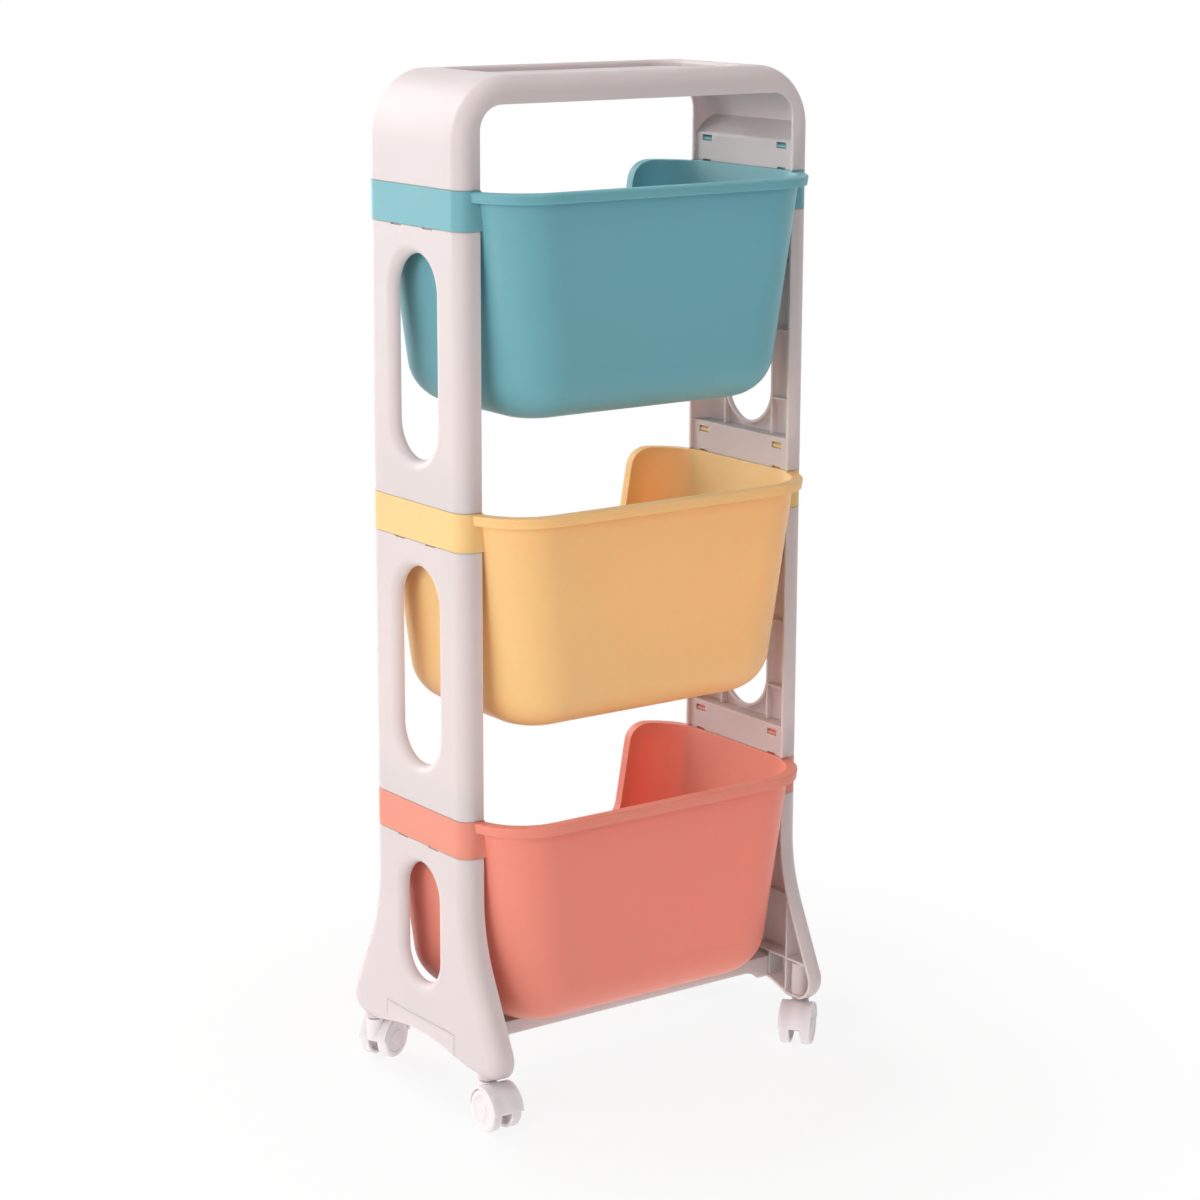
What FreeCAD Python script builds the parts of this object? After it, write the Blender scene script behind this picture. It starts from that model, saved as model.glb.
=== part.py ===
import FreeCAD, Part
import math
import os

# Three-tier rolling storage cart.
# Millimetres, +Z up, +X towards the right-hand end frame, -Y towards the closed side of the
# bins, origin on the floor under the centre of the cart.

V = FreeCAD.Vector

# End frames
WIDTH = 346.0                # across the outer faces of the two end frames
UPRIGHT_DEPTH = 135.0        # front edge to rear edge of a panel
UPRIGHT_THICK = 19.5         # outer face to the open inner side
UPRIGHT_CORNER = 12.0        # rounding of the outer edges
SKIN = 2.4                   # wall of the white mouldings
RIB = 1.8                    # ribs of the white mouldings
FIT = 0.3                    # clearance between pieces that snap together
SEAM = 0.6                   # shadow line let into the outer edge at a seam
PLATE_SETBACK = 2.5          # hook plates stand back from the open side

# Tiers
TIER_PITCH = 250.0           # one bin to the next
BAND_HEIGHT = 31.0           # coloured end band of a bin

# Panels
PLATE_CLEAR = 2.6            # hook to the ledge over it
PANEL_WINDOW_HALF = 30.4
PANEL_WINDOW_BELOW = 33.5    # lower edge of the panel to the window
PANEL_WINDOW_ABOVE = 22.0    # window to the upper edge of the panel
WINDOW_ROUND = 8.0           # soft outer lip of a window
WINDOW_COLLAR = 8.4          # depth of the wall round a window and of the ribs beside it
CROSS_RIB_FIRST = 57.0       # lower edge of the panel to the first cross rib
CROSS_RIB_PITCH = 58.0
CROSS_RIB_COUNT = 3
SPIGOT_HEIGHT = 14.0         # tongue that enters the band above
RELEASE_Y = 22.5             # pry notches in the upper edge of a panel
RELEASE_WIDTH = 15.0
RELEASE_HEIGHT = 1.5

# Snap hooks of a bin, and the slots they show in
HOOK_Y = 49.5
HOOK_RISE = 19.5             # top of the band to the middle of the barb
HOOK_WIDTH = 11.0
HOOK_THICK = 2.0
BARB_HEIGHT = 4.0
BARB_RECESS = 0.6            # barb stands this far inside the plate's face
SLOT_PLAY = 1.0              # slot is this much larger than the barb each way

# Top arch
ARCH_HEIGHT = 86.0
ARCH_CORNER = 50.0           # outer corner of the arch
ARCH_TOP_THICK = 22.0
ARCH_INNER_CORNER = 20.0
ARCH_PLATE_CLEAR = 1.8       # hook to the upper corner of the plate
ARCH_PLATE_ROUND = 5.0       # plate into the ledge over it
ARCH_LEDGE_RISE = 18.0       # the ledge slopes up to the outer wall
TRAY_END = 8.0               # tray to the arch's rounded end
TRAY_SIDE = 3.5              # tray to the rounded front and rear edges
TRAY_CORNER = 20.0
TRAY_DEPTH = 5.0
TRAY_LIP = 2.5               # rounding of the tray's upper edge
ARCH_RIB_COUNT = 5
ARCH_RIB_PITCH = 48.0
ARCH_RIB_SETBACK = 3.0

# Bins
BIN_DEPTH = 181.0            # rim to underside
BIN_WALL = 2.2
BIN_TOP_HALF_Y = 103.5       # outer face of the closed wall at the rim
BIN_CORNER = 46.0            # plan corners at the rim
BIN_BASE_CORNER = 52.0       # plan corners at the base
BIN_TAPER_X = 18.7           # how far each end wall leans in from rim to base
BIN_TAPER_Y = 10.5
BIN_BASE_ROUND = 38.0        # base into the walls
RIM_DROP = 1.0               # rim below the top of the band
RIM_OUT = 7.5                # rim stands out from the wall
RIM_THICK = 2.2
RIM_SKIRT = 8.0              # turned-down edge of the rim
RIM_ROUND = 1.6
SCOOP_END = 37.0             # end wall to the reach-in scoop of the open side
SCOOP_LEAN = 19.5            # each side of the scoop leans in by this much
SCOOP_DEPTH = 92.0
SCOOP_TOP_ROUND = 20.0
SCOOP_BASE_ROUND = 30.0
BAND_TUCK = 5.0              # band walls run on to meet the bin's corner

# Legs
FOOT_PAST_BIN = 16.5         # flare's corner at the caster seat, out from the bin's wall
FLARE_HEIGHT = 111.0         # start of the flare above the caster seat
FLARE_ROUND = 143.0
TOE_ROUND = 18.0
LEG_ARCH_RISE = 15.0
LEG_WINDOW_HALF = 26.5
LEG_WINDOW_BELOW = 57.0      # caster seat to the window
LEG_WINDOW_ABOVE = 19.5      # window to the top of the leg
LEG_RIB_RISE = 84.0          # cross rib above the caster seat
LEG_RIB_SETBACK = 1.5        # ribs stop short of the open side
LEG_LOW_RIB_GAP = 4.0        # bar notch to the rib over it
SOCKET_RIB_GAP = 2.1         # caster socket to the upright rib beside it
CASTER_INSET = 34.0          # flare's corner to the stem
SOCKET_RADIUS = 8.0
SOCKET_DEPTH = 28.0
SOCKET_CAP = 2.0

# Tie bar
BAR_HALF_Y = 51.0
BAR_RISE = 27.0              # top of the bar above the caster seat
BAR_BELOW_BIN = 0.8          # lowest bin to the bar
BAR_HEIGHT = 11.5
BAR_HAUNCH = 18.0            # the bar deepens over this length towards each leg
BAR_RIB_COUNT = 6
BAR_RIB_PITCH = 48.0

# Casters
WHEEL_RADIUS = 17.5
WHEEL_WIDTH = 9.5
WHEEL_EDGE = 2.5
WHEEL_RIM = 3.0              # tread thickness over the hollow inner side
WHEEL_DISC = 3.0             # outer face thickness
HUB_RADIUS = 4.5
FACE_DISH = 0.8              # shallow ring recess in the outer face
FACE_DISH_IN = 6.5
FACE_DISH_OUT = 13.0
AXLE_RADIUS = 2.0
WHEEL_CAP = 1.6              # closed outer face over the axle's end
AXLE_PLAY = 0.4              # axle's end to the cap
RUN_FIT = 0.05               # radial clearance of turning fits
PRESS_FIT = 0.02             # radial clearance of pushed-in fits
TRAIL = 12.5                 # stem axis to axle
WEB = 8.2                    # hood wall between the wheels
WHEEL_SIDE_GAP = 0.4         # web to wheel
FENDER_GAP = 0.5             # tread to fender
FENDER = 1.8
FENDER_LOW = 1.0             # lower edge of the fender above the axle
WEB_BOSS = 7.0               # web round the axle
HOOD_BOSS = 7.5              # boss round the stem
STEM_RADIUS = 4.0
STEM_PIN_RADIUS = 2.5
STEM_PIN_DEPTH = 15.0        # pin in the hood
STEM_LENGTH = 26.0           # shank in the socket
STEM_CHAMFER = 1.0
COLLAR_RADIUS = 5.5
COLLAR_THICK = 1.6
SWIVEL_GAP = 0.3             # collar to hood
RING_START = 12.0            # grip ring above the collar
RING_LENGTH = 8.0
RING_GROOVE = 0.8            # groove depth in the stem
RING_SPLIT = 2.0

# Trail direction of each caster as it stands, degrees from +X
CASTERS = {
    "front_left": (-1, -1, -92.0),
    "front_right": (1, -1, -140.0),
    "rear_left": (-1, 1, 24.0),
    "rear_right": (1, 1, 126.0),
}

# Places worked out from the sizes above
OVER = 20.0                  # how far a cutting solid runs past what it cuts
OUTER_X = WIDTH / 2
INNER_X = OUTER_X - UPRIGHT_THICK
HALF_Y = UPRIGHT_DEPTH / 2
CASTER_X = OUTER_X - UPRIGHT_THICK / 2
FLARE_HALF = BIN_TOP_HALF_Y + FOOT_PAST_BIN
CASTER_Y = FLARE_HALF - CASTER_INSET
LEG_ARCH_HALF = CASTER_Y - SOCKET_RADIUS
LEG_SIDE_RIB_Y = LEG_ARCH_HALF - SOCKET_RIB_GAP - RIB / 2
HOOD_RADIUS = WHEEL_RADIUS + FENDER_GAP + FENDER
HOOD_TOP = WHEEL_RADIUS + HOOD_RADIUS
COLLAR_Z = HOOD_TOP + SWIVEL_GAP
SEAT_Z = COLLAR_Z + COLLAR_THICK
BAR_TOP = SEAT_Z + BAR_RISE
LEG_TOP = BAR_TOP + BAR_BELOW_BIN + BIN_DEPTH + RIM_DROP - BAND_HEIGHT
PANEL_HEIGHT = TIER_PITCH - BAND_HEIGHT
BAND_TOPS = [LEG_TOP + BAND_HEIGHT + tier * TIER_PITCH for tier in range(3)]
ARCH_TOP = BAND_TOPS[-1] + ARCH_HEIGHT
HOOK_TOP = HOOK_RISE + BARB_HEIGHT / 2
PLATE_HEIGHT = HOOK_TOP + PLATE_CLEAR + SKIN
ARCH_PLATE_HEIGHT = HOOK_TOP + ARCH_PLATE_CLEAR
PLATE_X = INNER_X + PLATE_SETBACK
HOOK_X = PLATE_X + SKIN + FIT
WINDOW_RIB_X = OUTER_X - WINDOW_COLLAR
TRAY_HALF_X = OUTER_X - ARCH_CORNER - TRAY_END
TRAY_HALF_Y = HALF_Y - UPRIGHT_CORNER - TRAY_SIDE
BIN_TOP_HALF_X = INNER_X + BIN_WALL
SCOOP_TOP_HALF = BIN_TOP_HALF_X - SCOOP_END
SCOOP_BASE_HALF = SCOOP_TOP_HALF - SCOOP_LEAN


def on_xy(z):
    return lambda a, b: V(a, b, z)


def on_xz(y):
    return lambda a, b: V(a, y, b)


def on_yz(x):
    return lambda a, b: V(x, a, b)


def rounded_face(corners, place):
    """Face of a polygon of (a, b, radius) corners, each rounded by its radius."""
    count = len(corners)
    stretches = []
    for i, (a, b, radius) in enumerate(corners):
        corner = V(a, b, 0)
        if radius <= 0:
            stretches.append((corner, None, corner))
            continue
        back = V(*corners[i - 1][:2], 0) - corner
        ahead = V(*corners[(i + 1) % count][:2], 0) - corner
        half = back.getAngle(ahead) / 2
        back.normalize()
        ahead.normalize()
        middle = back + ahead
        middle.normalize()
        reach = radius / math.tan(half)
        crown = corner + middle * (radius / math.sin(half) - radius)
        stretches.append((corner + back * reach, crown, corner + ahead * reach))
    edges = []
    for i, (start, crown, end) in enumerate(stretches):
        if crown is not None:
            points = [place(p.x, p.y) for p in (start, crown, end)]
            edges.append(Part.Arc(*points).toShape())
        following = stretches[(i + 1) % count][0]
        if end.distanceToPoint(following) > 1e-6:
            edges.append(Part.makeLine(place(end.x, end.y), place(following.x, following.y)))
    return Part.Face(Part.Wire(edges))


def rectangle(half_a, half_b, radius, place):
    corners = [(-half_a, -half_b, radius), (half_a, -half_b, radius),
               (half_a, half_b, radius), (-half_a, half_b, radius)]
    return rounded_face(corners, place)


def box(low, high):
    size = [high[i] - low[i] for i in range(3)]
    return Part.makeBox(*size, V(*low))


def edge_middle(edge):
    return edge.valueAt((edge.FirstParameter + edge.LastParameter) / 2)


def fillet_where(shape, radius, test):
    """Round every edge whose ends and middle all pass the test."""
    picked = []
    for edge in shape.Edges:
        points = [v.Point for v in edge.Vertexes] + [edge_middle(edge)]
        if all(test(p) for p in points):
            picked.append(edge)
    return shape.makeFillet(radius, picked)


def near(a, b):
    return abs(a - b) < 1e-4


def join(shapes):
    return shapes[0].multiFuse(shapes[1:]).removeSplitter()


def plan_prism(inset, low, high, inner_x):
    """Upright block with the plan of an end frame: two rounded outer corners, flat inside."""
    x = OUTER_X - inset
    y = HALF_Y - inset
    radius = UPRIGHT_CORNER - inset
    corners = [(inner_x, -y, 0), (x, -y, radius), (x, y, radius), (inner_x, y, 0)]
    return rounded_face(corners, on_xy(low)).extrude(V(0, 0, high - low))


def rib_places(count, pitch):
    return [(number - (count - 1) / 2) * pitch for number in range(count)]


def mirrored(shape):
    return shape.mirror(V(0, 0, 0), V(1, 0, 0))


def window_solids(half, low, high):
    """The wall round an oval window, flared into the outer face, and the hole with its lip."""
    middle = (low + high) / 2
    tall = (high - low) / 2
    flare = WINDOW_ROUND - SKIN
    inner_skin = OUTER_X - SKIN

    def oval(grow, start, end):
        place = lambda a, b: V(start, a, middle + b)
        face = rectangle(half + grow, tall + grow, half + grow, place)
        return face.extrude(V(end - start, 0, 0))

    def inside(p, grow):
        return abs(p.y) < half + grow + 1e-3 and abs(p.z - middle) < tall + grow + 1e-3

    wall = join([oval(SKIN, WINDOW_RIB_X, OUTER_X), oval(2 * SKIN + flare, inner_skin, OUTER_X)])
    wall = fillet_where(wall, flare, lambda p: near(p.x, inner_skin) and inside(p, SKIN))
    hole = oval(0, INNER_X - OVER, OUTER_X + OVER)
    disc = oval(2 * WINDOW_ROUND, WINDOW_RIB_X, OUTER_X)
    lip = fillet_where(disc.cut(hole), WINDOW_ROUND, lambda p: near(p.x, OUTER_X) and inside(p, 0))
    return wall, hole.fuse(disc.cut(lip))


def spigot(base):
    """Tongue frame that stands up into the open underside of a band."""
    inset = SKIN + FIT
    inner = BIN_TOP_HALF_X + FIT
    low = base - SKIN / 2
    high = base + SPIGOT_HEIGHT
    core = plan_prism(inset + RIB, low - OVER, high + OVER, inner + RIB)
    return plan_prism(inset, low, high, inner).cut(core)


def slot_cutters(base):
    """Slots that show the hooks, and the small notch under each at the seam."""
    cutters = []
    half_width = HOOK_WIDTH / 2 + SLOT_PLAY
    half_height = BARB_HEIGHT / 2 + SLOT_PLAY / 2
    for y in (-HOOK_Y, HOOK_Y):
        z = base + HOOK_RISE
        cutters.append(box((INNER_X - OVER, y - half_width, z - half_height),
                           (HOOK_X - FIT / 2, y + half_width, z + half_height)))
        cutters.append(box((INNER_X - OVER, y - HOOK_WIDTH / 2, base - OVER),
                           (HOOK_X - FIT / 2, y + HOOK_WIDTH / 2, base + RELEASE_HEIGHT)))
    return cutters


def release_cutters(top):
    cutters = []
    for y in (-RELEASE_Y, RELEASE_Y):
        cutters.append(box((OUTER_X - SKIN, y - RELEASE_WIDTH / 2, top - RELEASE_HEIGHT),
                           (OUTER_X + OVER, y + RELEASE_WIDTH / 2, top + OVER)))
    return cutters


def seam_cutter(low, high):
    """Shadow line round the outer edge of a right-hand end piece between two heights."""
    ring = box((INNER_X - OVER, -HALF_Y - OVER, low), (OUTER_X + OVER, HALF_Y + OVER, high))
    return ring.cut(plan_prism(SEAM, low, high, INNER_X - OVER))


def side_ribs(y, low, high, front):
    """Pair of upright ribs at plus and minus y."""
    ribs = []
    for side in (-1, 1):
        ribs.append(box((front, side * y - RIB / 2, low),
                        (OUTER_X - SKIN / 2, side * y + RIB / 2, high)))
    return ribs


def end_panel(base):
    """Right-hand panel between two bands: channel, hook box, ribs, window, spigot."""
    top = base + PANEL_HEIGHT
    shell = plan_prism(0, base, top, INNER_X)
    shell = shell.cut(plan_prism(SKIN, base - OVER, top - SKIN, INNER_X - OVER))
    inside_y = HALF_Y - SKIN / 2
    ledge = base + PLATE_HEIGHT
    window_low = base + PANEL_WINDOW_BELOW
    window_high = top - PANEL_WINDOW_ABOVE
    wall, hole = window_solids(PANEL_WINDOW_HALF, window_low, window_high)
    wall = wall.cut(box((INNER_X, -HALF_Y, base), (OUTER_X - SKIN, HALF_Y, ledge - SKIN / 2)))
    rib_y = PANEL_WINDOW_HALF + SKIN / 2
    ribs = [box((PLATE_X, -inside_y, base), (PLATE_X + SKIN, inside_y, ledge)),
            box((PLATE_X, -inside_y, ledge - SKIN), (OUTER_X, inside_y, ledge))]
    ribs += side_ribs(rib_y, ledge - SKIN / 2, top - SKIN / 2, WINDOW_RIB_X)
    for number in range(CROSS_RIB_COUNT):
        z = base + CROSS_RIB_FIRST + number * CROSS_RIB_PITCH
        for side in (-1, 1):
            ends = sorted((side * rib_y, side * inside_y))
            ribs.append(box((WINDOW_RIB_X, ends[0], z - RIB / 2), (OUTER_X, ends[1], z + RIB / 2)))
    ribs = join(ribs).common(plan_prism(SKIN / 2, base, top, INNER_X))
    panel = join([shell, wall, ribs, spigot(top)])
    seams = [seam_cutter(base, base + SEAM), seam_cutter(top - SEAM, top)]
    return panel.cut([hole] + seams + slot_cutters(base) + release_cutters(top))


def leg_face(inset, place):
    """Side outline of a leg: straight at the top, flared to two rounded toes."""
    seat = SEAT_Z
    corners = [(-HALF_Y, LEG_TOP, 0), (-HALF_Y, seat + FLARE_HEIGHT, FLARE_ROUND),
               (-FLARE_HALF, seat, TOE_ROUND), (FLARE_HALF, seat, TOE_ROUND),
               (HALF_Y, seat + FLARE_HEIGHT, FLARE_ROUND), (HALF_Y, LEG_TOP, 0)]
    face = rounded_face(corners, place)
    if inset > 0:
        face = face.makeOffset2D(-inset)
    return face


def leg_arch(grow):
    """Cylinder whose top is the shallow arch between the two feet of a leg."""
    radius = (LEG_ARCH_HALF ** 2 + LEG_ARCH_RISE ** 2) / (2 * LEG_ARCH_RISE)
    centre = V(-OUTER_X - OVER, 0, SEAT_Z + LEG_ARCH_RISE - radius)
    return Part.makeCylinder(radius + grow, WIDTH + 2 * OVER, centre, V(1, 0, 0))


def leg():
    """Right-hand leg: flared channel, ribs, window, bar notch and two caster sockets."""
    block = leg_face(0, on_yz(INNER_X)).extrude(V(UPRIGHT_THICK, 0, 0))
    block = fillet_where(block, UPRIGHT_CORNER,
                         lambda p: near(p.x, OUTER_X) and p.z < LEG_TOP - 1e-3 or
                         near(p.x, OUTER_X) and near(abs(p.y), HALF_Y))
    hollow = leg_face(SKIN, on_yz(INNER_X - OVER)).extrude(V(UPRIGHT_THICK + OVER - SKIN, 0, 0))
    inner_face = OUTER_X - SKIN
    hollow = fillet_where(hollow, UPRIGHT_CORNER - SKIN,
                          lambda p: near(p.x, inner_face) and
                          (p.z < LEG_TOP - SKIN - 1e-3 or near(abs(p.y), HALF_Y - SKIN)))
    hollow = hollow.cut(leg_arch(SKIN))
    inside = block.common(hollow)
    notch_half = BAR_HALF_Y + FIT
    notch_top = BAR_TOP + FIT
    window_low = SEAT_Z + LEG_WINDOW_BELOW
    window_high = LEG_TOP - LEG_WINDOW_ABOVE
    wall, hole = window_solids(LEG_WINDOW_HALF, window_low, window_high)
    rib_y = LEG_WINDOW_HALF + SKIN / 2
    reach = FLARE_HALF
    cross = SEAT_Z + LEG_RIB_RISE
    low_rib = notch_top + LEG_LOW_RIB_GAP
    front = INNER_X + LEG_RIB_SETBACK
    grid = [box((front, -reach, low_rib), (OUTER_X, reach, low_rib + RIB))]
    grid += side_ribs(rib_y, low_rib, LEG_TOP, WINDOW_RIB_X)
    grid += side_ribs(LEG_SIDE_RIB_Y, SEAT_Z, cross, front)
    grid += side_ribs(notch_half + RIB / 2, SEAT_Z, low_rib + RIB, front)
    for side in (-1, 1):
        ends = sorted((side * rib_y, side * reach))
        grid.append(box((WINDOW_RIB_X, ends[0], cross - RIB / 2),
                        (OUTER_X, ends[1], cross + RIB / 2)))
    ribs = join(grid).common(inside)
    sockets = []
    bores = []
    for side in (-1, 1):
        seat = V(CASTER_X, side * CASTER_Y, SEAT_Z)
        sockets.append(Part.makeCylinder(SOCKET_RADIUS, SOCKET_DEPTH + SOCKET_CAP, seat))
        below = V(CASTER_X, side * CASTER_Y, SEAT_Z - OVER)
        bores.append(Part.makeCylinder(STEM_RADIUS + RUN_FIT, SOCKET_DEPTH + OVER, below))
    shell = block.cut([leg_arch(0), hollow])
    solid = join([shell, ribs, wall, spigot(LEG_TOP)] + sockets)
    notch = box((INNER_X - OVER, -notch_half, SEAT_Z - OVER), (OUTER_X + OVER, notch_half, notch_top))
    return solid.cut([hole, notch, seam_cutter(LEG_TOP - SEAM, LEG_TOP)] + bores +
                     release_cutters(LEG_TOP))


def tie_bar():
    """Channel between the legs, deepened at its ends, which close the notches of the legs."""
    low = BAR_TOP - BAR_HEIGHT
    haunch_x = INNER_X - BAR_HAUNCH
    profile = [(-OUTER_X, BAR_TOP, 0), (-OUTER_X, SEAT_Z, 0), (-INNER_X, SEAT_Z, 0),
               (-haunch_x, low, BAR_HAUNCH), (haunch_x, low, BAR_HAUNCH), (INNER_X, SEAT_Z, 0),
               (OUTER_X, SEAT_Z, 0), (OUTER_X, BAR_TOP, 0)]
    block = rounded_face(profile, on_xz(-BAR_HALF_Y)).extrude(V(0, 2 * BAR_HALF_Y, 0))
    block = block.cut(leg_arch(0))
    inner_y = BAR_HALF_Y - SKIN
    core = box((-OUTER_X + SKIN, -inner_y, SEAT_Z - OVER), (OUTER_X - SKIN, inner_y, BAR_TOP - SKIN))
    ribs = []
    for x in rib_places(BAR_RIB_COUNT, BAR_RIB_PITCH):
        ribs.append(box((x - RIB / 2, -inner_y - SKIN / 2, low),
                        (x + RIB / 2, inner_y + SKIN / 2, BAR_TOP)))
    return join([block.cut(core)] + ribs)


def arch_block(inset, drop):
    """Arch as a solid block with rounded front and rear edges, drawn inwards by inset and run
    down by drop at its feet."""
    x = OUTER_X - inset
    y = HALF_Y - inset
    low = BAND_TOPS[-1] - drop
    high = ARCH_TOP - inset
    radius = ARCH_CORNER - inset
    corners = [(-x, low, 0), (-x, high, radius), (x, high, radius), (x, low, 0)]
    block = rounded_face(corners, on_xz(-y)).extrude(V(0, 2 * y, 0))
    return fillet_where(block, UPRIGHT_CORNER - inset,
                        lambda p: near(abs(p.y), y) and (p.z > low + 1e-3 or near(abs(p.x), x)))


def arch_ledge(base):
    """Right-hand hook plate of the arch, rounded over into a slope up to the outer wall."""
    inside_y = HALF_Y - SKIN / 2
    plate_top = base + ARCH_PLATE_HEIGHT
    far_x = OUTER_X + OVER
    far_z = plate_top + ARCH_LEDGE_RISE * (far_x - PLATE_X) / (OUTER_X - PLATE_X)
    corners = [(PLATE_X, base - OVER, 0), (far_x, base - OVER, 0), (far_x, far_z, 0),
               (PLATE_X, plate_top, ARCH_PLATE_ROUND)]
    outline = rounded_face(corners, on_xz(-inside_y))
    depth = V(0, 2 * inside_y, 0)
    return outline.extrude(depth).cut(outline.makeOffset2D(-SKIN).extrude(depth))


def top_arch():
    """Arched channel with hook plates at its feet and a shallow tray on top."""
    base = BAND_TOPS[-1]
    under = ARCH_TOP - ARCH_TOP_THICK
    opening = [(-INNER_X, base - OVER, 0), (-INNER_X, under, ARCH_INNER_CORNER),
               (INNER_X, under, ARCH_INNER_CORNER), (INNER_X, base - OVER, 0)]
    gap = rounded_face(opening, on_xz(-HALF_Y - OVER)).extrude(V(0, UPRIGHT_DEPTH + 2 * OVER, 0))
    shell = arch_block(0, 0).cut([arch_block(SKIN, OVER), gap])
    floor = ARCH_TOP - TRAY_DEPTH
    additions = [rectangle(TRAY_HALF_X + SKIN, TRAY_HALF_Y + SKIN, TRAY_CORNER + SKIN,
                           on_xy(floor - SKIN)).extrude(V(0, 0, TRAY_DEPTH + SKIN / 2))]
    for x in rib_places(ARCH_RIB_COUNT, ARCH_RIB_PITCH):
        additions.append(box((x - RIB / 2, -HALF_Y, under + ARCH_RIB_SETBACK),
                             (x + RIB / 2, HALF_Y, ARCH_TOP)))
    ledge = arch_ledge(base)
    additions += [ledge, mirrored(ledge)]
    arch = join([shell, join(additions).common(arch_block(SKIN / 2, 0))])
    tray = rectangle(TRAY_HALF_X, TRAY_HALF_Y, TRAY_CORNER, on_xy(floor)).extrude(V(0, 0, OVER))
    cutters = slot_cutters(base) + [seam_cutter(base, base + SEAM)]
    arch = arch.cut([tray] + cutters + [mirrored(shape) for shape in cutters])
    return fillet_where(arch, TRAY_LIP,
                        lambda p: near(p.z, ARCH_TOP) and abs(p.x) < TRAY_HALF_X + 1e-3 and
                        abs(p.y) < TRAY_HALF_Y + 1e-3)


def bin_loft(top, start, end, grow):
    """Tapered block with the bin's plan, from height start down to end, grown outwards."""
    wires = []
    for z in (start, end):
        share = (top - z) / BIN_DEPTH
        half_x = BIN_TOP_HALF_X - BIN_TAPER_X * share + grow
        half_y = BIN_TOP_HALF_Y - BIN_TAPER_Y * share + grow
        corner = BIN_CORNER + (BIN_BASE_CORNER - BIN_CORNER) * share + grow
        wires.append(rectangle(half_x, half_y, corner, on_xy(z)).OuterWire)
    return Part.makeLoft(wires, True, True)


def bin_body(top, start, grow):
    """Tapered block down to the base, with the base rounded."""
    end = top - BIN_DEPTH - grow
    block = bin_loft(top, start, end, grow)
    return fillet_where(block, BIN_BASE_ROUND + grow, lambda p: near(p.z, end))


def below_rim(top, drop):
    """Everything that lies at least drop under the rim line, which dips into the scoop."""
    far = WIDTH
    low = top - 2 * BIN_DEPTH
    corners = [(-far, low, 0), (far, low, 0), (far, top, 0), (SCOOP_TOP_HALF, top, SCOOP_TOP_ROUND),
               (SCOOP_BASE_HALF, top - SCOOP_DEPTH, SCOOP_BASE_ROUND),
               (-SCOOP_BASE_HALF, top - SCOOP_DEPTH, SCOOP_BASE_ROUND),
               (-SCOOP_TOP_HALF, top, SCOOP_TOP_ROUND), (-far, top, 0)]
    face = rounded_face(corners, on_xz(0))
    if drop > 0:
        face = face.makeOffset2D(-drop)
    open_side = face.extrude(V(0, far, 0))
    closed_side = box((-far, -far, low), (far, 0, top - drop))
    return open_side.fuse(closed_side)


def round_rim(flange, side, kept, low):
    """Soften the outer edge of the rim, along the top and down into the scoop."""
    def on_both(edge):
        middle = edge_middle(edge)
        point = Part.Vertex(middle)
        touches = point.distToShape(side.Shells[0])[0] < 1e-3 and point.distToShape(kept.Shells[0])[0] < 1e-3
        return touches and middle.z > low + 1e-3

    picked = [edge for edge in flange.Edges if on_both(edge)]
    return flange.makeFillet(RIM_ROUND, picked)


def hooks(top):
    """Right-hand pair of snap hooks that stand on the band."""
    barb_x = PLATE_X + BARB_RECESS
    shapes = []
    for y in (-HOOK_Y, HOOK_Y):
        middle = top + HOOK_RISE
        low = middle - BARB_HEIGHT / 2
        high = middle + BARB_HEIGHT / 2
        stem = [(HOOK_X, top - SKIN / 2, 0), (HOOK_X, low, 0), (barb_x, low, 0),
                (barb_x, middle, 0), (HOOK_X, high, 0),
                (HOOK_X + HOOK_THICK, high, 0), (HOOK_X + HOOK_THICK, top - SKIN / 2, 0)]
        face = rounded_face(stem, on_xz(y - HOOK_WIDTH / 2))
        shapes.append(face.extrude(V(0, HOOK_WIDTH, 0)))
    return shapes


def storage_bin(band_top):
    """Bin with tapered rounded walls, turned-down rim, scoop, end bands and snap hooks."""
    rim = band_top - RIM_DROP
    outer = bin_body(rim, rim, 0)
    cavity = bin_body(rim, rim + OVER, -BIN_WALL)
    rim_low = rim - SCOOP_DEPTH - 2 * RIM_SKIRT
    flange_side = bin_loft(rim, rim, rim_low, RIM_OUT)
    flange_core = bin_loft(rim, rim + OVER, rim_low - OVER, RIM_OUT - RIM_THICK)
    kept = below_rim(rim, 0)
    walls = outer.cut(cavity).common(kept)
    flange = round_rim(flange_side.common(kept), flange_side, kept, rim_low)
    rim_plate = flange.cut([cavity, below_rim(rim, RIM_THICK)])
    rim_skirt = flange.cut([flange_core, below_rim(rim, RIM_SKIRT)])
    lip = join([rim_plate, rim_skirt])
    base = band_top - BAND_HEIGHT
    band_block = plan_prism(0, base, band_top, INNER_X - BAND_TUCK)
    band_hollow = plan_prism(SKIN, base - OVER, band_top - SKIN, INNER_X - BAND_TUCK - OVER)
    band = band_block.cut([band_hollow, cavity])
    lip = lip.cut([band_block, mirrored(band_block)])
    right = [band] + hooks(band_top)
    return join([walls, lip] + right + [mirrored(shape) for shape in right])


def revolved(points, axis_point, axis):
    wire = Part.makePolygon(points + points[:1])
    return Part.Face(wire).revolve(axis_point, axis, 360)


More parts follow.
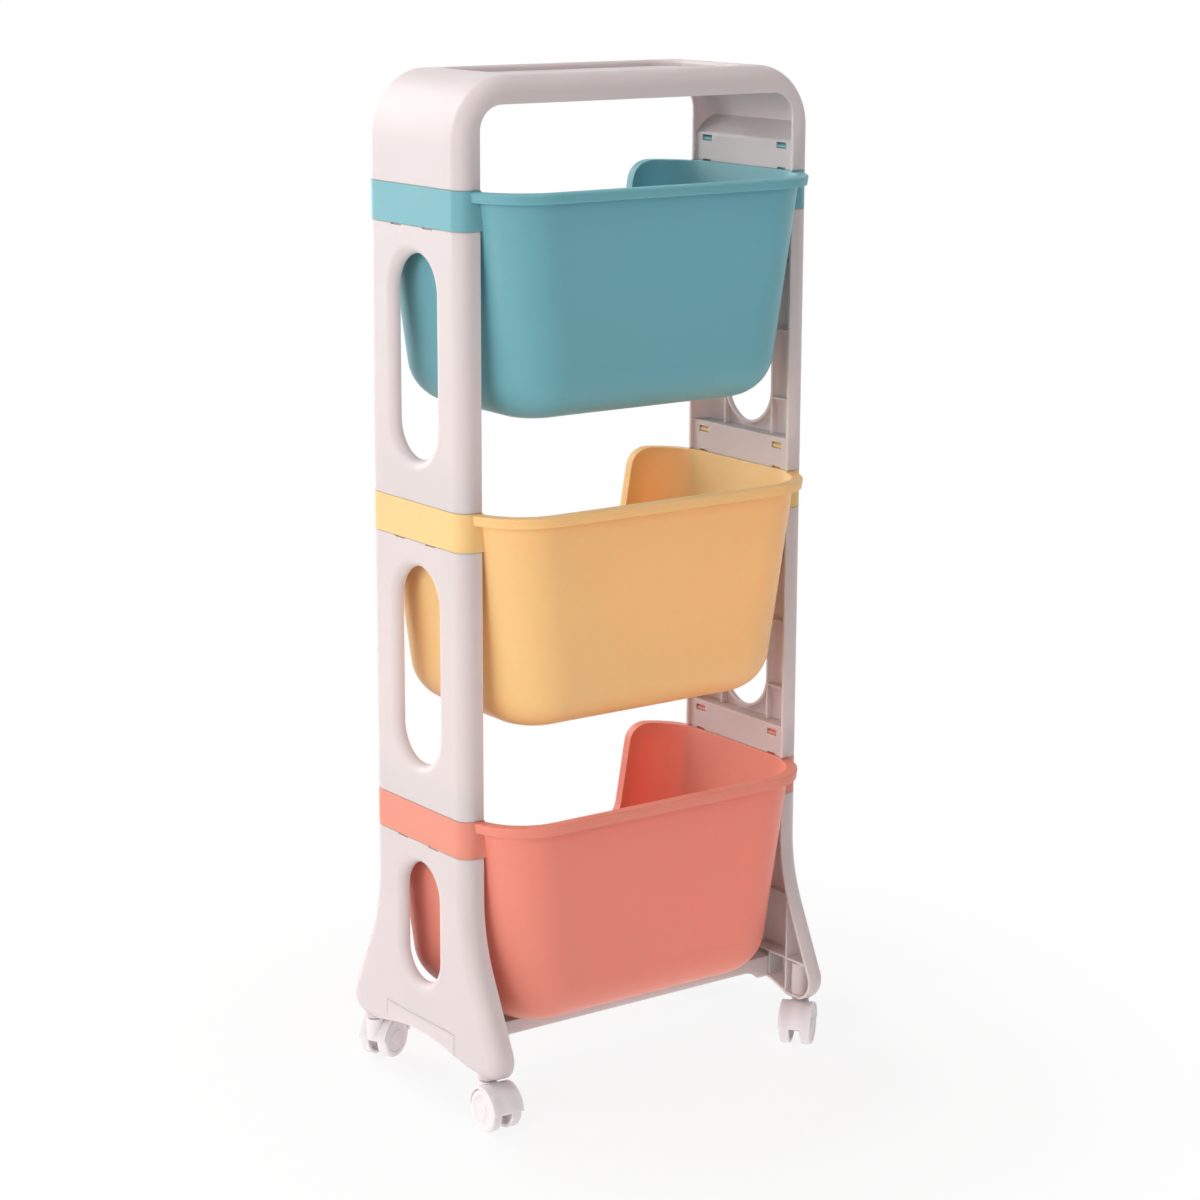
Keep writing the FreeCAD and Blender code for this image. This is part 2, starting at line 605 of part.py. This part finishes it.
def stem():
    """Steel stem: pin for the hood, collar, shank with a groove for the grip ring."""
    groove = STEM_RADIUS - RING_GROOVE
    ring_low = SEAT_Z + RING_START
    ring_high = ring_low + RING_LENGTH
    top = SEAT_Z + STEM_LENGTH
    profile = [(0, COLLAR_Z - STEM_PIN_DEPTH), (STEM_PIN_RADIUS, COLLAR_Z - STEM_PIN_DEPTH),
               (STEM_PIN_RADIUS, COLLAR_Z), (COLLAR_RADIUS, COLLAR_Z), (COLLAR_RADIUS, SEAT_Z),
               (STEM_RADIUS, SEAT_Z), (STEM_RADIUS, ring_low), (groove, ring_low),
               (groove, ring_high), (STEM_RADIUS, ring_high), (STEM_RADIUS, top - STEM_CHAMFER),
               (STEM_RADIUS - STEM_CHAMFER, top), (0, top)]
    return revolved([V(r, 0, z) for r, z in profile], V(0, 0, 0), V(0, 0, 1))


def grip_ring():
    """Split ring in the stem's groove."""
    low = SEAT_Z + RING_START + PRESS_FIT
    tall = RING_LENGTH - 2 * PRESS_FIT
    ring = Part.makeCylinder(STEM_RADIUS, tall, V(0, 0, low))
    bore = Part.makeCylinder(STEM_RADIUS - RING_GROOVE + PRESS_FIT, tall, V(0, 0, low))
    split = box((0, -RING_SPLIT / 2, low), (2 * STEM_RADIUS, RING_SPLIT / 2, low + tall))
    return ring.cut([bore, split])


def across(radius, width, x, z):
    """Cylinder along the axle, centred on the caster's middle plane."""
    return Part.makeCylinder(radius, width, V(x, -width / 2, z), V(0, 1, 0))


def hood():
    """Swivelling hood: web between the wheels, fender over them, boss for the stem."""
    half_width = WEB / 2 + WHEEL_SIDE_GAP + WHEEL_WIDTH
    drum = across(HOOD_RADIUS, 2 * half_width, TRAIL, WHEEL_RADIUS)
    reach = HOOD_RADIUS + OVER
    low = WHEEL_RADIUS + FENDER_LOW
    upper = box((TRAIL - reach, -reach, low), (TRAIL + reach, reach, low + reach))
    boss = Part.makeCylinder(HOOD_BOSS, HOOD_TOP - low, V(0, 0, low))
    bridge = box((0, -WEB / 2, low), (TRAIL, WEB / 2, HOOD_TOP))
    hub = across(WEB_BOSS, WEB, TRAIL, WHEEL_RADIUS)
    solid = join([drum.common(upper), boss, bridge, hub])
    well = WHEEL_RADIUS + FENDER_GAP
    wells = []
    for side in (-1, 1):
        start = V(TRAIL, side * WEB / 2, WHEEL_RADIUS)
        wells.append(Part.makeCylinder(well, half_width + OVER, start, V(0, side, 0)))
    pin_low = COLLAR_Z - STEM_PIN_DEPTH - SWIVEL_GAP
    pin_bore = Part.makeCylinder(STEM_PIN_RADIUS + RUN_FIT, STEM_PIN_DEPTH + OVER, V(0, 0, pin_low))
    axle_bore = across(AXLE_RADIUS + PRESS_FIT, 2 * reach, TRAIL, WHEEL_RADIUS)
    return solid.cut(wells + [pin_bore, axle_bore])


def axle():
    width = WEB + 2 * (WHEEL_SIDE_GAP + WHEEL_WIDTH - WHEEL_CAP - AXLE_PLAY)
    return across(AXLE_RADIUS, width, TRAIL, WHEEL_RADIUS)


def wheel(side):
    """Hollow-backed wheel with rounded tread edges and a closed, dished outer face."""
    near_y = WEB / 2 + WHEEL_SIDE_GAP
    far_y = near_y + WHEEL_WIDTH
    bore = AXLE_RADIUS + RUN_FIT
    cap = far_y - WHEEL_CAP
    inner_rim = WHEEL_RADIUS - WHEEL_RIM
    inner_disc = far_y - FACE_DISH - WHEEL_DISC
    dish = far_y - FACE_DISH
    corners = [(0, cap, 0), (bore, cap, 0), (bore, near_y, 0), (HUB_RADIUS, near_y, 0),
               (HUB_RADIUS, inner_disc, 0),
               (inner_rim, inner_disc, 0), (inner_rim, near_y, 0), (WHEEL_RADIUS, near_y, WHEEL_EDGE / 2),
               (WHEEL_RADIUS, far_y, WHEEL_EDGE), (FACE_DISH_OUT, far_y, 0),
               (FACE_DISH_OUT - FACE_DISH, dish, 0), (FACE_DISH_IN, dish, 0),
               (FACE_DISH_IN - FACE_DISH, far_y, 0), (0, far_y, 0)]
    face = rounded_face(corners, lambda r, y: V(TRAIL + r, side * y, WHEEL_RADIUS))
    return face.revolve(V(TRAIL, 0, WHEEL_RADIUS), V(0, 1, 0), 360)


def placed(shape, corner):
    """A caster piece turned to its trail and set under its foot."""
    side_x, side_y, turn = CASTERS[corner]
    copy = shape.copy()
    copy.rotate(V(0, 0, 0), V(0, 0, 1), turn)
    copy.translate(V(side_x * CASTER_X, side_y * CASTER_Y, 0))
    return copy


def raised(shape, lift):
    copy = shape.copy()
    copy.translate(V(0, 0, lift))
    return copy


def build():
    nodes = {"top_arch": top_arch(), "tie_bar": tie_bar()}
    bin_shape = storage_bin(BAND_TOPS[0])
    panel = end_panel(BAND_TOPS[0])
    for tier, name in enumerate(("lower", "middle", "upper")):
        nodes[name + "_bin"] = raised(bin_shape, tier * TIER_PITCH)
    for tier, name in enumerate(("lower", "upper")):
        nodes[name + "_right_panel"] = raised(panel, tier * TIER_PITCH)
        nodes[name + "_left_panel"] = mirrored(nodes[name + "_right_panel"])
    nodes["right_leg"] = leg()
    nodes["left_leg"] = mirrored(nodes["right_leg"])
    caster = {"stem": stem(), "grip_ring": grip_ring(), "hood": hood(), "axle": axle(),
              "wheel_a": wheel(-1), "wheel_b": wheel(1)}
    for corner in CASTERS:
        for piece, shape in caster.items():
            nodes[corner + "_" + piece] = placed(shape, corner)
    return nodes


def main():
    os.makedirs("parts", exist_ok=True)
    for name, shape in build().items():
        print(name, len(shape.Solids), shape.isValid(), round(shape.Volume))
        shape.exportStep(os.path.join("parts", name + ".step"))


main()
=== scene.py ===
import math

import bmesh
import bpy
from mathutils import Matrix, Vector

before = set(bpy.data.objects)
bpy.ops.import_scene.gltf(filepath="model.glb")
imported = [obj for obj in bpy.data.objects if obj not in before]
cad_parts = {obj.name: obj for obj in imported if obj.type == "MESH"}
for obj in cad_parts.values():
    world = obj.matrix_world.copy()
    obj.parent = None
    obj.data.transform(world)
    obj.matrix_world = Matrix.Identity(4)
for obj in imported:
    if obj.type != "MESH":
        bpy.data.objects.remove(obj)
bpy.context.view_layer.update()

bl_info = {
    "name": "Rolling Storage Cart",
    "version": (1, 0, 0),
    "blender": (4, 5, 0),
    "location": "View3D > Sidebar > Cart",
    "description": "Finishes, light and camera for a three-tier rolling storage cart",
    "category": "Object",
}

WHITE_NODES = ("top_arch", "upper_left_panel", "upper_right_panel", "lower_left_panel",
               "lower_right_panel", "left_leg", "right_leg", "tie_bar")
CORNERS = ("front_left", "front_right", "rear_left", "rear_right")

# Noise: scales are in waves to the metre, and only the middle of the range is used
NOISE_LOW = 0.3
NOISE_HIGH = 0.7

# Satin polypropylene
DRIFT_SCALE = 5.0
DRIFT_SHARE = 0.02
PATCH_SCALE = 22.0
PATCH_SMOOTHER = 0.04
PATCH_ROUGHER = 0.05
FLOW_SCALE = 9.0
FLOW_DEPTH = 0.0004
EDGE_SAMPLES = 6
PLASTIC_IOR = 1.49
PLASTIC_SHEEN = 0.3

# Drawn wire
TARNISH_SCALE = 60.0
TARNISH_SHARE = 0.06
WIRE_LINES = 900.0
WIRE_LINE_DEPTH = 0.00002
WIRE_SMOOTH = 0.24
WIRE_ROUGH = 0.40

# Floor
FLOOR_SIDES = 96
FLOOR_COLOUR = (0.84, 0.835, 0.83)
FLOOR_DRIFT_SCALE = 2.0
FLOOR_DRIFT_SHARE = 0.01
FLOOR_ROUGHNESS = 0.7
FLOOR_SHEEN = 0.2
SHADOW_REACH = 0.25          # the shadow is plainest up to this far from the middle
SHADOW_END_SHARE = 0.2       # it has gone at this share of the floor's radius
SHADOW_WHITENING = 0.85      # share of white over the plainest part

# Lamps: where each one stands, the side of its square and its colour
LAMP_AIM = (0.0, 0.0, 0.38)
LAMPS = {
    "key": ((-3.0, -1.3, 1.4), 1.6, (1.0, 0.985, 0.98)),
    "side": ((-1.7, 0.1, 0.1), 0.9, (1.0, 1.0, 1.0)),
    "fill": ((-1.2, -2.4, 1.0), 1.2, (1.0, 0.86, 0.76)),
    "rim": ((-0.7, 2.5, 1.3), 2.0, (1.0, 1.0, 1.0)),
    "top": ((-0.3, -0.2, 3.0), 1.6, (1.0, 1.0, 1.0)),
}
AMBIENT_COLOUR = (1.0, 0.98, 0.97, 1.0)
WHITE = (1.0, 1.0, 1.0, 1.0)
SENSOR_WIDTH = 36.0


class CartColours(bpy.types.PropertyGroup):
    """Colours of the moulded and metal pieces"""

    white: bpy.props.FloatVectorProperty(
        name="White", description="End frames, arch and tie bar",
        subtype="COLOR", size=3, min=0.0, max=1.0, default=(0.655, 0.58, 0.575))
    blue: bpy.props.FloatVectorProperty(
        name="Blue", description="Upper bin",
        subtype="COLOR", size=3, min=0.0, max=1.0, default=(0.165, 0.405, 0.45))
    yellow: bpy.props.FloatVectorProperty(
        name="Yellow", description="Middle bin",
        subtype="COLOR", size=3, min=0.0, max=1.0, default=(0.97, 0.565, 0.25))
    coral: bpy.props.FloatVectorProperty(
        name="Coral", description="Lower bin",
        subtype="COLOR", size=3, min=0.0, max=1.0, default=(0.80, 0.28, 0.21))
    caster: bpy.props.FloatVectorProperty(
        name="Caster", description="Caster hoods and wheels",
        subtype="COLOR", size=3, min=0.0, max=1.0, default=(0.80, 0.73, 0.745))
    steel: bpy.props.FloatVectorProperty(
        name="Steel", description="Stems, axles and grip rings",
        subtype="COLOR", size=3, min=0.0, max=1.0, default=(0.55, 0.55, 0.56))


class CartFinish(bpy.types.PropertyGroup):
    """Surface of the mouldings"""

    gloss: bpy.props.FloatProperty(
        name="Roughness", description="Middle roughness of the satin mouldings",
        subtype="FACTOR", min=0.0, max=1.0, default=0.42)
    grain: bpy.props.FloatProperty(
        name="Grain", description="Size of the fine mould texture",
        unit="LENGTH", min=0.0002, max=0.01, default=0.0011)
    grain_depth: bpy.props.FloatProperty(
        name="Grain Depth", description="Height of the fine mould texture",
        unit="LENGTH", min=0.0, max=0.001, default=0.00006)
    translucence: bpy.props.FloatProperty(
        name="Translucence", description="Share of light that passes through the thin walls",
        subtype="FACTOR", min=0.0, max=1.0, default=0.75)
    light_depth: bpy.props.FloatProperty(
        name="Light Depth", description="How far light travels inside the walls",
        unit="LENGTH", min=0.0, max=0.05, default=0.006)
    edge: bpy.props.FloatProperty(
        name="Edge Softness", description="Radius at which moulded edges catch the light",
        unit="LENGTH", min=0.0, max=0.005, default=0.0006)


class CartStage(bpy.types.PropertyGroup):
    """Camera and light"""

    camera_at: bpy.props.FloatVectorProperty(
        name="Camera", description="Where the camera stands",
        subtype="TRANSLATION", size=3, default=(-1.43676, -1.99182, 0.96601))
    yaw: bpy.props.FloatProperty(
        name="Yaw", description="Camera's turn about the vertical",
        subtype="ANGLE", default=math.radians(-35.98))
    pitch: bpy.props.FloatProperty(
        name="Pitch", description="Camera's tilt below the horizon",
        subtype="ANGLE", default=math.radians(13.06))
    roll: bpy.props.FloatProperty(
        name="Roll", description="Camera's turn about its own axis",
        subtype="ANGLE", default=math.radians(0.19))
    lens: bpy.props.FloatProperty(
        name="Lens", description="Focal length in millimetres on a 36 mm sensor",
        min=1.0, default=90.784)
    key_power: bpy.props.FloatProperty(
        name="Key Light", description="High soft light from the left of the camera",
        subtype="POWER", min=0.0, default=45.0)
    side_power: bpy.props.FloatProperty(
        name="Side Light", description="Low soft light on the left-hand end frame",
        subtype="POWER", min=0.0, default=7.2)
    fill_power: bpy.props.FloatProperty(
        name="Fill Light", description="Warm soft light beside the camera",
        subtype="POWER", min=0.0, default=3.0)
    rim_power: bpy.props.FloatProperty(
        name="Rim Light", description="Soft light into the open side of the bins",
        subtype="POWER", min=0.0, default=60.0)
    top_power: bpy.props.FloatProperty(
        name="Top Light", description="Soft light from above on the tray and the rims",
        subtype="POWER", min=0.0, default=22.0)
    ambient: bpy.props.FloatProperty(
        name="Ambient", description="Strength of the even light all round",
        min=0.0, default=0.31)
    bounce: bpy.props.FloatProperty(
        name="Bounce", description="Share of white light that the floor sends up",
        subtype="FACTOR", min=0.0, max=1.0, default=0.8)
    floor_radius: bpy.props.FloatProperty(
        name="Floor", description="Radius of the round floor",
        unit="LENGTH", min=0.5, default=3.0)


def node_material(name):
    """Empty node material with its shader, its links and an Object coordinate socket."""
    material = bpy.data.materials.new(name)
    material.use_nodes = True
    tree = material.node_tree
    shader = tree.nodes["Principled BSDF"]
    place = tree.nodes.new("ShaderNodeTexCoord").outputs["Object"]
    return material, tree, shader, place


def noise(tree, place, scale, detail):
    """Noise over the piece, with this many finer layers."""
    node = tree.nodes.new("ShaderNodeTexNoise")
    node.inputs["Scale"].default_value = scale
    node.inputs["Detail"].default_value = detail
    tree.links.new(place, node.inputs["Vector"])
    return node.outputs["Fac"]


def spread(tree, value, low, high):
    """Map the middle of a noise to the range from low to high."""
    node = tree.nodes.new("ShaderNodeMapRange")
    node.inputs["From Min"].default_value = NOISE_LOW
    node.inputs["From Max"].default_value = NOISE_HIGH
    node.inputs["To Min"].default_value = low
    node.inputs["To Max"].default_value = high
    tree.links.new(value, node.inputs["Value"])
    return node.outputs["Result"]


def tinted(tree, value, colour, share):
    """Colour that drifts a little lighter and darker with the value."""
    ramp = tree.nodes.new("ShaderNodeValToRGB")
    ramp.color_ramp.elements[0].position = NOISE_LOW
    ramp.color_ramp.elements[1].position = NOISE_HIGH
    ramp.color_ramp.elements[0].color = [c * (1 - share) for c in colour] + [1]
    ramp.color_ramp.elements[1].color = [min(c * (1 + share), 1) for c in colour] + [1]
    tree.links.new(value, ramp.inputs["Fac"])
    return ramp.outputs["Color"]


def bumped(tree, height, distance, normal=None):
    """Normal that follows the height, on top of another normal if one is given."""
    node = tree.nodes.new("ShaderNodeBump")
    node.inputs["Strength"].default_value = 1.0
    node.inputs["Distance"].default_value = distance
    tree.links.new(height, node.inputs["Height"])
    if normal is not None:
        tree.links.new(normal, node.inputs["Normal"])
    return node.outputs["Normal"]


def moulded_plastic(name, colour, finish):
    """Satin polypropylene: fine mould grain, slow flow marks, soft edges, a little light inside."""
    material, tree, shader, place = node_material(name)
    links = tree.links
    drift = noise(tree, place, DRIFT_SCALE, 2.0)
    links.new(tinted(tree, drift, colour, DRIFT_SHARE), shader.inputs["Base Color"])
    patches = noise(tree, place, PATCH_SCALE, 4.0)
    smooth = finish.gloss - PATCH_SMOOTHER
    rough = finish.gloss + PATCH_ROUGHER
    links.new(spread(tree, patches, smooth, rough), shader.inputs["Roughness"])
    edge = tree.nodes.new("ShaderNodeBevel")
    edge.samples = EDGE_SAMPLES
    edge.inputs["Radius"].default_value = finish.edge
    flow = bumped(tree, noise(tree, place, FLOW_SCALE, 1.0), FLOW_DEPTH, edge.outputs["Normal"])
    grain = bumped(tree, noise(tree, place, 1 / finish.grain, 2.0), finish.grain_depth, flow)
    links.new(grain, shader.inputs["Normal"])
    shader.inputs["IOR"].default_value = PLASTIC_IOR
    shader.inputs["Specular IOR Level"].default_value = PLASTIC_SHEEN
    shader.inputs["Subsurface Weight"].default_value = finish.translucence
    shader.inputs["Subsurface Radius"].default_value = [c / max(colour) for c in colour]
    shader.inputs["Subsurface Scale"].default_value = finish.light_depth
    return material


def drawn_steel(name, colour):
    """Bright drawn wire with fine lines and uneven polish."""
    material, tree, shader, place = node_material(name)
    links = tree.links
    tarnish = noise(tree, place, TARNISH_SCALE, 3.0)
    links.new(tinted(tree, tarnish, colour, TARNISH_SHARE), shader.inputs["Base Color"])
    lines = noise(tree, place, WIRE_LINES, 2.0)
    links.new(spread(tree, lines, WIRE_SMOOTH, WIRE_ROUGH), shader.inputs["Roughness"])
    links.new(bumped(tree, lines, WIRE_LINE_DEPTH), shader.inputs["Normal"])
    shader.inputs["Metallic"].default_value = 1.0
    return material


def dress(names, material):
    """Give CAD nodes a finish."""
    for name in names:
        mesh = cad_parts[name].data
        mesh.materials.clear()
        mesh.materials.append(material)


class CART_OT_end_frames(bpy.types.Operator):
    """Finish the white arch, panels, legs and tie bar"""

    bl_idname = "cart.end_frames"
    bl_label = "End Frames"

    def execute(self, context):
        scene = context.scene
        white = scene.cart_colours.white
        dress(WHITE_NODES, moulded_plastic("warm_white_moulding", white, scene.cart_finish))
        return {"FINISHED"}


class CART_OT_bins(bpy.types.Operator):
    """Finish the three pastel bins"""

    bl_idname = "cart.bins"
    bl_label = "Bins"

    def execute(self, context):
        scene = context.scene
        colours = scene.cart_colours
        tiers = {"upper_bin": ("blue_moulding", colours.blue),
                 "middle_bin": ("yellow_moulding", colours.yellow),
                 "lower_bin": ("coral_moulding", colours.coral)}
        for node, (name, colour) in tiers.items():
            dress([node], moulded_plastic(name, colour, scene.cart_finish))
        return {"FINISHED"}


class CART_OT_casters(bpy.types.Operator):
    """Finish the caster hoods, wheels and steel pins"""

    bl_idname = "cart.casters"
    bl_label = "Casters"

    def execute(self, context):
        scene = context.scene
        colours = scene.cart_colours
        plastic = moulded_plastic("caster_moulding", colours.caster, scene.cart_finish)
        steel = drawn_steel("bright_wire", colours.steel)
        for corner in CORNERS:
            dress([f"{corner}_{piece}" for piece in ("hood", "wheel_a", "wheel_b")], plastic)
            dress([f"{corner}_{piece}" for piece in ("stem", "axle", "grip_ring")], steel)
        return {"FINISHED"}


def seen_directly(tree):
    """1 for rays from the camera, from gloss and through clear things, else 0."""
    path = tree.nodes.new("ShaderNodeLightPath")
    seen = path.outputs["Is Camera Ray"]
    for ray in ("Is Glossy Ray", "Is Transmission Ray"):
        either = tree.nodes.new("ShaderNodeMath")
        either.operation = "MAXIMUM"
        tree.links.new(seen, either.inputs[0])
        tree.links.new(path.outputs[ray], either.inputs[1])
        seen = either.outputs[0]
    return seen


def studio_world(ambient):
    """Even light all round, with a white backdrop where it is seen."""
    world = bpy.data.worlds.new("studio")
    world.use_nodes = True
    tree = world.node_tree
    even = tree.nodes["Background"]
    even.inputs["Color"].default_value = AMBIENT_COLOUR
    even.inputs["Strength"].default_value = ambient
    backdrop = tree.nodes.new("ShaderNodeBackground")
    backdrop.inputs["Color"].default_value = WHITE
    backdrop.inputs["Strength"].default_value = 1.0
    mix = tree.nodes.new("ShaderNodeMixShader")
    tree.links.new(seen_directly(tree), mix.inputs["Fac"])
    tree.links.new(even.outputs["Background"], mix.inputs[1])
    tree.links.new(backdrop.outputs["Background"], mix.inputs[2])
    tree.links.new(mix.outputs["Shader"], tree.nodes["World Output"].inputs["Surface"])
    return world


def pale_floor(radius, bounce):
    """Round pale floor that keeps the cart's shadow and fades to the white backdrop."""
    sketch = bmesh.new()
    bmesh.ops.create_circle(sketch, cap_ends=True, segments=FLOOR_SIDES, radius=radius)
    mesh = bpy.data.meshes.new("floor")
    sketch.to_mesh(mesh)
    sketch.free()
    floor = bpy.data.objects.new("floor", mesh)
    bpy.context.scene.collection.objects.link(floor)
    material, tree, shader, place = node_material("pale_floor")
    links = tree.links
    drift = noise(tree, place, FLOOR_DRIFT_SCALE, 2.0)
    links.new(tinted(tree, drift, FLOOR_COLOUR, FLOOR_DRIFT_SHARE), shader.inputs["Base Color"])
    shader.inputs["Roughness"].default_value = FLOOR_ROUGHNESS
    shader.inputs["Specular IOR Level"].default_value = FLOOR_SHEEN
    white = tree.nodes.new("ShaderNodeEmission")
    white.inputs["Color"].default_value = WHITE
    white.inputs["Strength"].default_value = 1.0
    span = tree.nodes.new("ShaderNodeVectorMath")
    span.operation = "LENGTH"
    links.new(place, span.inputs[0])
    fade = tree.nodes.new("ShaderNodeMapRange")
    fade.inputs["From Min"].default_value = SHADOW_REACH
    fade.inputs["From Max"].default_value = SHADOW_END_SHARE * radius
    fade.inputs["To Min"].default_value = SHADOW_WHITENING
    fade.inputs["To Max"].default_value = 1.0
    links.new(span.outputs["Value"], fade.inputs["Value"])
    share = tree.nodes.new("ShaderNodeMath")
    share.operation = "MULTIPLY"
    links.new(seen_directly(tree), share.inputs[0])
    links.new(fade.outputs["Result"], share.inputs[1])
    glow = tree.nodes.new("ShaderNodeMath")
    glow.operation = "MAXIMUM"
    glow.inputs[1].default_value = bounce
    links.new(share.outputs[0], glow.inputs[0])
    mix = tree.nodes.new("ShaderNodeMixShader")
    links.new(glow.outputs[0], mix.inputs["Fac"])
    links.new(shader.outputs["BSDF"], mix.inputs[1])
    links.new(white.outputs["Emission"], mix.inputs[2])
    links.new(mix.outputs["Shader"], tree.nodes["Material Output"].inputs["Surface"])
    mesh.materials.append(material)


def soft_light(name, place, size, power, colour):
    """Square lamp that points at the middle of the cart."""
    data = bpy.data.lights.new(name, "AREA")
    data.shape = "SQUARE"
    data.size = size
    data.energy = power
    data.color = colour
    lamp = bpy.data.objects.new(name, data)
    lamp.location = place
    towards = Vector(LAMP_AIM) - Vector(place)
    lamp.rotation_euler = towards.to_track_quat("-Z", "Y").to_euler()
    bpy.context.scene.collection.objects.link(lamp)


def photo_camera(stage):
    """Camera at the photograph's place and angle."""
    data = bpy.data.cameras.new("camera")
    data.sensor_width = SENSOR_WIDTH
    data.lens = stage.lens
    camera = bpy.data.objects.new("camera", data)
    heading = Matrix.Rotation(stage.yaw, 4, "Z")
    tilt = Matrix.Rotation(math.pi / 2 - stage.pitch, 4, "X")
    roll = Matrix.Rotation(stage.roll, 4, "Z")
    camera.matrix_world = Matrix.Translation(stage.camera_at) @ heading @ tilt @ roll
    bpy.context.scene.collection.objects.link(camera)
    return camera


class CART_OT_stage(bpy.types.Operator):
    """Set up the floor, the soft lights, the backdrop and the camera"""

    bl_idname = "cart.stage"
    bl_label = "Stage"

    def execute(self, context):
        scene = context.scene
        stage = scene.cart_stage
        pale_floor(stage.floor_radius, stage.bounce)
        for name, (place, size, colour) in LAMPS.items():
            soft_light(name, place, size, getattr(stage, f"{name}_power"), colour)
        scene.world = studio_world(stage.ambient)
        scene.camera = photo_camera(stage)
        scene.view_settings.view_transform = "Standard"
        return {"FINISHED"}


class CART_PT_sidebar(bpy.types.Panel):
    """Cart tools in the sidebar"""

    bl_label = "Storage Cart"
    bl_idname = "CART_PT_sidebar"
    bl_space_type = "VIEW_3D"
    bl_region_type = "UI"
    bl_category = "Cart"

    def draw(self, context):
        layout = self.layout
        for operator in OPERATORS:
            layout.operator(operator.bl_idname)
        for group in (context.scene.cart_colours, context.scene.cart_finish, context.scene.cart_stage):
            box = layout.box()
            for key in group.__annotations__:
                box.prop(group, key)


GROUPS = {"cart_colours": CartColours, "cart_finish": CartFinish, "cart_stage": CartStage}
OPERATORS = (CART_OT_end_frames, CART_OT_bins, CART_OT_casters, CART_OT_stage)


def register():
    for key, group in GROUPS.items():
        bpy.utils.register_class(group)
        setattr(bpy.types.Scene, key, bpy.props.PointerProperty(type=group))
    for cls in OPERATORS + (CART_PT_sidebar,):
        bpy.utils.register_class(cls)


def unregister():
    for cls in reversed(OPERATORS + (CART_PT_sidebar,)):
        bpy.utils.unregister_class(cls)
    for key, group in GROUPS.items():
        delattr(bpy.types.Scene, key)
        bpy.utils.unregister_class(group)


def main():
    register()
    bpy.ops.cart.end_frames()
    bpy.ops.cart.bins()
    bpy.ops.cart.casters()
    bpy.ops.cart.stage()
    bpy.context.view_layer.update()


if __name__ == "__main__":
    main()
